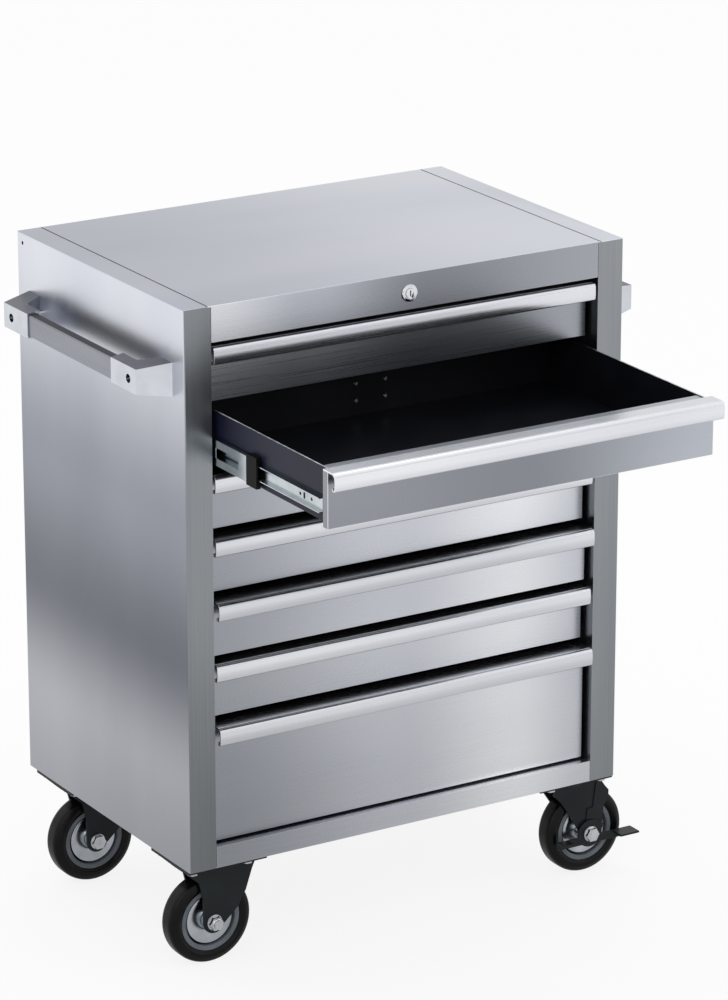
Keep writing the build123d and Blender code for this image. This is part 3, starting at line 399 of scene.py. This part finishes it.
def repeat_tree(name, numbers, build, material):
    """A tree that sets one small solid on every point, with its sizes as named inputs in metres."""
    tree = bpy.data.node_groups.new(name, "GeometryNodeTree")
    tree.interface.new_socket("Geometry", in_out="INPUT", socket_type="NodeSocketGeometry")
    for label, value in numbers.items():
        socket = tree.interface.new_socket(label, in_out="INPUT", socket_type="NodeSocketFloat")
        socket.default_value = value
    tree.interface.new_socket("Turn", in_out="INPUT", socket_type="NodeSocketVector")
    tree.interface.new_socket("Geometry", in_out="OUTPUT", socket_type="NodeSocketGeometry")
    given = tree.nodes.new("NodeGroupInput").outputs
    solid = build(tree, given)
    turn = add(tree, "FunctionNodeEulerToRotation", {"Euler": given["Turn"]}).outputs[0]
    spread = add(tree, "GeometryNodeInstanceOnPoints", {
        "Points": given["Geometry"], "Instance": solid, "Rotation": turn}).outputs[0]
    real = add(tree, "GeometryNodeRealizeInstances", {"Geometry": spread}).outputs[0]
    coated = add(tree, "GeometryNodeSetMaterial", {"Geometry": real, "Material": material}).outputs[0]
    add(tree, "NodeGroupOutput", {"Geometry": coated})
    return tree


def repeated(name, tree, points, body, turn=(0, 0, 0)):
    """Runs a repeat tree over points, given in metres, and keeps its result as a plain mesh."""
    base = bpy.data.meshes.new(name + " points")
    base.from_pydata([tuple(p) for p in points], [], [])
    carrier = new_object(name + " points", base)
    modifier = carrier.modifiers.new("repeat", "NODES")
    modifier.node_group = tree
    for item in tree.interface.items_tree:
        if item.item_type == "SOCKET" and item.name == "Turn":
            modifier[item.identifier] = turn
    evaluated = carrier.evaluated_get(bpy.context.evaluated_depsgraph_get())
    data = bpy.data.meshes.new_from_object(evaluated)
    carrier.modifiers.remove(modifier)
    bpy.data.objects.remove(carrier)
    settle(new_object(name, data), body)


def build_ball(tree, given):
    return add(tree, "GeometryNodeMeshIcoSphere", {
        "Radius": given["Radius"], "Subdivisions": 2}).outputs["Mesh"]


def build_disc(tree, given):
    """A short round disc that narrows towards its crown: a washer, or one crest of a thread."""
    return add(tree, "GeometryNodeMeshCone", {
        "Radius Bottom": given["Radius"], "Radius Top": given["Crown"], "Depth": given["Height"],
        "Vertices": 40, "Side Segments": 1}).outputs["Mesh"]


WASHER_THICKNESS = 1.2 * MM
THREAD_PITCH = 0.8 * MM
ball_tree = repeat_tree("bearing balls", {"Radius": 2.4 * MM}, build_ball, bolt_zinc)
washer_tree = repeat_tree("axle washers", {
    "Radius": 11.5 * MM, "Crown": 11.2 * MM, "Height": WASHER_THICKNESS}, build_disc, bolt_zinc)
thread_tree = repeat_tree("stud thread crests", {
    "Radius": 6.3 * MM, "Crown": 5.6 * MM, "Height": THREAD_PITCH}, build_disc, bolt_zinc)


# ---- Which finish a face takes ------------------------------------------------------------------
# Each function gets the box of a loose piece and one of its faces, and gives its material's number.

SKIN = 1.0 * MM  # a face this near to the side of a piece is one of its outer faces
BEND_SKIN = 0.5 * MM  # the same beside a bend, whose curved faces are left out
FACING, SQUARELY = 0.5, 0.9  # least part of a face's normal along an axis, to face that way
POST_WIDTH, POST_DEPTH = 40 * MM, 30 * MM


def worktop_faces(low, high, face):
    """0 top and edges, 1 the apron's front."""
    return 1 if abs(face.normal.y) > FACING and face.calc_center_median().y < low.y + SKIN else 0


def side_faces(low, high, face):
    """0 outer wall and rear flange, 1 post, in painted shade, 2 top strip, 3 inside, in painted shade."""
    centre, outer = face.calc_center_median(), max(abs(low.x), abs(high.x))
    from_outside = outer - abs(centre.x)
    from_front, from_back = centre.y - low.y, high.y - centre.y
    if abs(face.normal.z) > FACING and centre.z > high.z - BEND_SKIN:
        return 2
    if from_outside < BEND_SKIN and abs(face.normal.x) > FACING:
        return 0
    if from_front < SKIN or (from_front < POST_DEPTH and from_outside > POST_WIDTH - SKIN):
        return 1
    return 3 if from_outside > 2 * SKIN and from_back > 2 * SKIN else 0


def upright_faces(low, high, face):
    """0 runner's member or guide of the lock bar, 1 upright, which is much taller."""
    return 1 if high.z - low.z > 200 * MM else 0


def push_faces(low, high, face):
    """0 bracket, 1 bar, 2 top of a bracket, in painted shade, 3 the bar's top, bottom and back, in painted
    shade.
    """
    level = abs(face.normal.z) > SQUARELY
    if high.y - low.y < 150 * MM:
        return 2 if level else 0
    outwards = face.normal.x * (1 if low.x > 0 else -1)
    return 1 if outwards > 0.3 else 3


def lock_faces(low, high, face):
    """0 barrel, 1 its flat nut."""
    return 1 if high.y - low.y < 6 * MM else 0


def tray_faces(low, high, face):
    """0 inside, front and back, 1 the rim, partly rubbed paint, partly painted highlight, 2 the outer sides,
    in painted reflection.
    """
    centre = face.calc_center_median()
    if face.normal.z > SQUARELY and centre.z > high.z - SKIN:
        return 1
    from_side = min(centre.x - low.x, high.x - centre.x)
    return 2 if abs(face.normal.x) > SQUARELY and from_side < 1.5 * SKIN else 0


def runner_faces(low, high, face):
    """0 member or catch, 1 rivet."""
    return 1 if high.x - low.x < 20 * MM and high.y - low.y < 20 * MM else 0


def link_faces(low, high, face):
    """0 member, 1 plastic nose."""
    return 1 if high.y - low.y < 40 * MM else 0


def swivel_faces(low, high, face):
    """0 fork, 1 axle bolt or nut."""
    return 1 if high.x - low.x < 30 * MM else 0


# ---- Cabinet body -------------------------------------------------------------------------------

for side in ("left", "right"):
    dressed(f"{side}_side_panel", "cabinet", [side_steel, post_steel_painted_shade, top_steel, inner_steel_painted_shade],
            0.55, side_faces, edge_material=painted_edge_highlight)
dressed("back_panel", "cabinet", [back_steel], 0)
dressed("worktop_panel", "cabinet", [top_steel, rail_steel], 0.5, worktop_faces,
        edge_material=painted_edge_highlight)
dressed("base_panel", "cabinet", [front_steel], 0.5, edge_material=painted_edge_highlight)

# Painted shade of the seam between the worktop and each side panel's top strip: a black strip a hair above
# both.
SEAM_SHADE_WIDTH, SEAM_SHADE_HEIGHT, SEAM_SHADE_PROUD = 1.8 * MM, 1.0 * MM, 0.04 * MM
SEAM_SHADE_OUTWARDS = 0.15 * MM  # from the worktop's side edge to the line's middle
SEAM_SHADE_SHORT = 3 * MM  # what it stays short of the worktop's depth
worktop_low, worktop_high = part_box("worktop_panel")
for side, way in (("left", -1), ("right", 1)):
    seam_shade_strip = bmesh.new()
    bmesh.ops.create_cube(seam_shade_strip, size=1.0)
    length = worktop_high[1] - worktop_low[1] - SEAM_SHADE_SHORT
    bmesh.ops.scale(seam_shade_strip, vec=(SEAM_SHADE_WIDTH, length, SEAM_SHADE_HEIGHT), verts=seam_shade_strip.verts)
    middle = (way * (worktop_high[0] + SEAM_SHADE_OUTWARDS), 0, worktop_high[2] + SEAM_SHADE_PROUD - SEAM_SHADE_HEIGHT / 2)
    bmesh.ops.translate(seam_shade_strip, vec=middle, verts=seam_shade_strip.verts)
    settle(new_piece(f"{side}_painted_seam_shade", seam_shade_strip, [dark_gap]), "cabinet")

dressed("cabinet_runners", "cabinet", [zinc, inner_steel_painted_shade], 0.3, upright_faces, 1)
dressed("side_handles", "cabinet",
        [bracket_metal, bar_aluminium, bracket_top_painted_shade, bar_painted_shade], 0.9, push_faces, 3)
dressed("cabinet_fasteners", "cabinet", [bolt_zinc], 0.5)
dressed("lock_barrel", "cabinet", [chrome, zinc], 0.35, lock_faces)
dressed("lock_core", "lock_core_body", [chrome], 0.25)
dressed("lock_bar", "lock_bar_body", [zinc], 0.4)


# ---- Drawers ------------------------------------------------------------------------------------

BALLS_IN_ROW, BALL_PITCH = 13, 11 * MM
FIRST_BALL = 32 * MM  # behind the member's front end
BALL_INSET = 4.5 * MM  # from the member's outer face
RACE_HEIGHT = 13.3 * MM  # above and below the member's middle
# Drawer 1 takes the top rail's steel and drawer 2 the second front's steel, each with its own painted
# shading.
fronts_by_painted_shading = {1: rail_steel, 2: open_steel}

for number in DRAWERS:
    drawer = f"drawer_{number}"
    links = f"{drawer}_link_pair"
    dressed(f"{drawer}_front", drawer, [fronts_by_painted_shading.get(number, front_steel)], 0.55,
            edge_material=painted_edge_highlight)
    dressed(f"{drawer}_handle", drawer, [handle_aluminium], 0.35)
    dressed(f"{drawer}_tray", drawer, [tray_paint, rim_wear_and_highlight, tray_side_painted_reflection], 0.35,
            tray_faces)
    dressed(f"{drawer}_runners", drawer, [zinc, bolt_zinc], 0.25, runner_faces, 1)
    dressed(f"{drawer}_links", links, [zinc, black_plastic], 0.3, link_faces, 1)

    # Balls in the cages of the intermediate members.
    link_low, link_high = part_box(f"{drawer}_links")
    middle = (link_low[2] + link_high[2]) / 2
    balls = [(side * (link_high[0] - BALL_INSET), link_low[1] + FIRST_BALL + BALL_PITCH * step,
              middle + level * RACE_HEIGHT)
             for side in (-1, 1) for level in (-1, 1) for step in range(BALLS_IN_ROW)]
    repeated(f"{drawer}_balls", ball_tree, balls, links)


# ---- Casters ------------------------------------------------------------------------------------

# Profiles of a wheel's pieces as (radius, offset from its middle plane) in millimetres. The tyre has a
# slightly crowned tread, the rim of plastic holds it, and a metal disc joins the rim to the boss. The web
# is the bottom of the groove between disc and rim, drawn black as painted shade.
tyre_profile = rounded(symmetric([
    (62.5, 0), (62.45, 8.5), (60.6, 12.8), (53.5, 15.9), (49.0, 15.6), (48.0, 14.4), (44.6, 13.4)]), 2.0, 3)
rim_profile = rounded(symmetric([(44.4, 13.4), (39.0, 13.4), (37.6, 12.6), (37.6, 5.5)]), 0.8, 3)
web_profile = symmetric([(37.7, 5.0), (34.9, 5.0)])
disc_profile = rounded(symmetric([(35.3, 10.4), (31.0, 11.0), (20.0, 9.5), (13.0, 8.4)]), 1.5, 3)
boss_profile = rounded(symmetric([(13.1, 18.0), (11.6, 19.5), (6.1, 19.5)]), 0.4, 2)

FORK_HALF_MM = {"left": 23.0, "right": 28.2}  # middle plane to the outer face of a fork's cheek
NUT_END_MM = 9.0  # cheek to the end of the nut's hexagon, washer included
COLLAR_END_MM = 11.2  # cheek to the end of the nut's locking collar
FIRST_CREST_MM = 11.7  # cheek to the first crest of thread beyond the collar


def wheel(name, low, high, fork_half, carrier, nut_side):
    """Tyre and hub of one wheel, with the small parts on the ends of its axle bolt.

    carrier is the body that holds the axle, and nut_side is the end of the axle that has the nut.
    """
    body = f"{name}_wheel"
    centre = [(low[i] + high[i]) / 2 for i in range(3)]
    turned(f"{name}_tyre_turned", [(tyre_profile, tyre_rubber)], centre, body,
           [f"{name}_tyre"])
    hub = [(rim_profile, rim_plastic), (web_profile, dark_gap), (disc_profile, disc_metal),
           (boss_profile, zinc)]
    turned(f"{name}_hub_turned", hub, centre, body, [f"{name}_hub"])

    washers = [(centre[0], centre[1] + way * (fork_half * MM + WASHER_THICKNESS / 2), centre[2])
               for way in (-1, 1)]
    repeated(f"{name}_axle_washers", washer_tree, washers, carrier, (math.radians(90), 0, 0))
    collar = [(radius, nut_side * (fork_half + reach)) for radius, reach in (
        (6.05, NUT_END_MM), (8.6, NUT_END_MM), (8.4, NUT_END_MM + 1.0), (7.2, COLLAR_END_MM),
        (6.05, COLLAR_END_MM))]
    turned(f"{name}_nut_collar", [(rounded(collar, 0.4, 2), bolt_zinc)], centre, carrier,
           [], 40)
    crests = [(centre[0], centre[1] + nut_side * ((fork_half + FIRST_CREST_MM) * MM + THREAD_PITCH * step),
               centre[2]) for step in range(3)]
    repeated(f"{name}_stud_thread", thread_tree, crests, carrier,
             (math.radians(90 * nut_side), 0, 0))


dressed("rigid_caster_forks", "cabinet", [caster_paint], 1.0, steps=3)
dressed("swivel_caster_plates", "cabinet", [caster_paint], 0.8)
for end in ENDS:
    dressed(f"{end}_swivel_fork", f"{end}_swivel", [caster_paint, bolt_zinc], 0.9,
            swivel_faces, 3)
    dressed(f"{end}_brake_lever", f"{end}_brake", [caster_paint], 0.8, steps=3)

for end in ENDS:
    for side in ("left", "right"):
        tyre_low, tyre_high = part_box(f"{end}_{side}_tyre")
        carrier = "cabinet" if side == "left" else f"{end}_swivel"
        nut_side = -1 if (end, side) == ("front", "left") else 1
        wheel(f"{end}_{side}", tyre_low, tyre_high, FORK_HALF_MM[side], carrier, nut_side)


# ---- Stage --------------------------------------------------------------------------------------

FLOOR_HALF = 15.0
FLOOR_BELOW = 0.2 * MM
SHADE_CENTRE = (-0.3, -0.3, 0)  # where the floor's reflection is dimmest


def pale(name, shade, near, far, dim):
    """A white surface that the camera and reflections see as background, with the shadow kept.

    shade is the share of plain white in what they see, and the rest is the lit surface.
    Reflections see it at the level dim within near metres of SHADE_CENTRE, rising to white at far metres,
    as paper in a unit's own shade is.
    """
    material, tree, output = new_material(name)
    rays = add(tree, "ShaderNodeLightPath")
    seen = add(tree, "ShaderNodeMath", {0: rays.outputs["Is Camera Ray"], 1: rays.outputs["Is Glossy Ray"]},
               operation="ADD").outputs[0]
    seen = add(tree, "ShaderNodeMath", {0: seen, 1: rays.outputs["Is Transmission Ray"]},
               operation="ADD").outputs[0]
    seen = add(tree, "ShaderNodeMath", {0: seen, 1: shade}, operation="MULTIPLY", use_clamp=True).outputs[0]
    matt = add(tree, "ShaderNodeBsdfDiffuse", {"Color": (0.9, 0.9, 0.9, 1)}).outputs[0]
    coords = add(tree, "ShaderNodeTexCoord").outputs["Object"]
    reach = add(tree, "ShaderNodeVectorMath", {0: coords, 1: SHADE_CENTRE},
                operation="DISTANCE").outputs["Value"]
    mirrored = add(tree, "ShaderNodeMapRange", {
        "Value": reach, "From Min": near, "From Max": far, "To Min": dim, "To Max": 1.0}).outputs["Result"]
    level = add(tree, "ShaderNodeMix", {
        "Factor": rays.outputs["Is Camera Ray"], "A": mirrored, "B": 1.0}, data_type="FLOAT").outputs[0]
    glow = add(tree, "ShaderNodeEmission", {"Color": (1, 1, 1, 1), "Strength": level}).outputs[0]
    mixed = add(tree, "ShaderNodeMixShader", {0: seen, 1: matt, 2: glow}).outputs[0]
    tree.links.new(mixed, output.inputs["Surface"])
    return material


def white_room():
    """A world that is plain white to the camera, and lights the object less from below than from above."""
    world = bpy.data.worlds.new("studio")
    bpy.context.scene.world = world
    world.use_nodes = True
    tree = world.node_tree
    tree.nodes.clear()
    rays = add(tree, "ShaderNodeLightPath").outputs
    direct = add(tree, "ShaderNodeMath", {0: rays["Is Camera Ray"], 1: rays["Is Transmission Ray"]},
                 operation="ADD", use_clamp=True).outputs[0]
    coords = add(tree, "ShaderNodeTexCoord").outputs["Generated"]
    toward = add(tree, "ShaderNodeSeparateXYZ", {"Vector": coords})
    rise = add(tree, "ShaderNodeMapRange", {
        "Value": toward.outputs["Z"], "From Min": -0.3, "From Max": 0.7, "To Min": 0.55, "To Max": 1.0})
    level = add(tree, "ShaderNodeMix", {"Factor": direct, "A": rise.outputs["Result"], "B": 1.0},
                data_type="FLOAT").outputs[0]
    back = add(tree, "ShaderNodeBackground", {"Color": (1, 1, 1, 1), "Strength": level}).outputs[0]
    add(tree, "ShaderNodeOutputWorld", {"Surface": back})


def softbox(name, where, aim, size, power):
    """A square area lamp, in metres and watts, aimed at a point."""
    lamp = bpy.data.lights.new(name, "AREA")
    lamp.shape, lamp.size, lamp.energy = "SQUARE", size, power
    holder = new_object(name, lamp)
    holder.location = where
    holder.rotation_euler = (Vector(aim) - Vector(where)).to_track_quat("-Z", "Y").to_euler()


def camera(where, aim, lens_mm, film_mm):
    """The scene's camera, whose lens is measured over the height of the film."""
    lens = bpy.data.cameras.new("view")
    lens.sensor_fit, lens.sensor_height, lens.lens = "VERTICAL", film_mm, lens_mm
    viewer = new_object("view", lens)
    viewer.location = where
    viewer.rotation_euler = (Vector(aim) - viewer.location).to_track_quat("-Z", "Y").to_euler()
    bpy.context.scene.camera = viewer


sheet = bmesh.new()
bmesh.ops.create_grid(sheet, x_segments=1, y_segments=1, size=FLOOR_HALF)
floor = new_piece("studio_floor", sheet, [pale("white studio paper", 0.85, 0.5, 2.2, 0.55)])
floor.location.z = cad_box[0][2] - FLOOR_BELOW

white_room()
softbox("key softbox", (-2.6, -2.4, 2.6), (0, 0, 0.5), 1.6, 6)
softbox("strip softbox", (2.8, -2.6, 1.4), (0, 0, 0.4), 1.2, 5)
softbox("top softbox", (0.3, 0.2, 3.4), (0, 0, 0.5), 2.0, 12)
softbox("edge lamp", (-3.0, -1.6, 1.5), (-0.2, 0, 0.1), 0.3, 3)
camera((-3.1201, -5.2328, 2.5817), (0.1486, 0.1282, 0.4942), 167.66, 36.0)
bpy.context.scene.view_settings.view_transform = "Standard"

bpy.context.view_layer.update()
